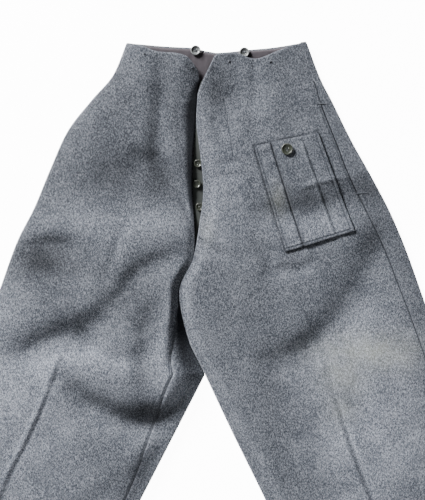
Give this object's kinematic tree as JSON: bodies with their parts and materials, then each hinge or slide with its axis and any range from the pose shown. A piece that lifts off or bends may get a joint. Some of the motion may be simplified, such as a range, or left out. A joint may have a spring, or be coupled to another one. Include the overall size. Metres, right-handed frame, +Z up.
{
  "type": "battledress trousers",
  "caption": "Wool serge battledress trousers laid flat on their back, with buttoned fly, high waistband, brace buttons and a box-pleated field pocket.",
  "frame": {"origin": "under the middle of the laid garment, on the surface it lies on", "axes": "+X to the wearer's left side, +Y towards the waist, +Z up from the surface through the front of the garment"},
  "size_m": [0.9672, 1.107, 0.0228],
  "materials": {
    "serge": "blue-grey melange wool serge, napped and matt",
    "lining": "mauve-grey cotton lining, plain weave",
    "drill": "olive-grey cotton drill",
    "button_grey": "worn grey enamelled button",
    "button_dark": "dark olive composition button"
  },
  "bodies": {
    "root": {"front_right": "serge", "front_left": "serge", "back_right": "serge", "back_left": "serge", "waistband_front_right": "serge", "waistband_front_left": "serge", "waistband_back_right": "serge", "waistband_back_left": "serge", "waistband_lining": "lining", "fly_stand": "drill", "field_pocket": "serge", "field_pocket_button": "button_dark", "brace_button_right": "button_grey", "brace_button_left": "button_grey", "fly_button_top": "button_dark", "fly_button_middle": "button_dark", "fly_button_bottom": "button_dark"}
  },
  "joints": []
}
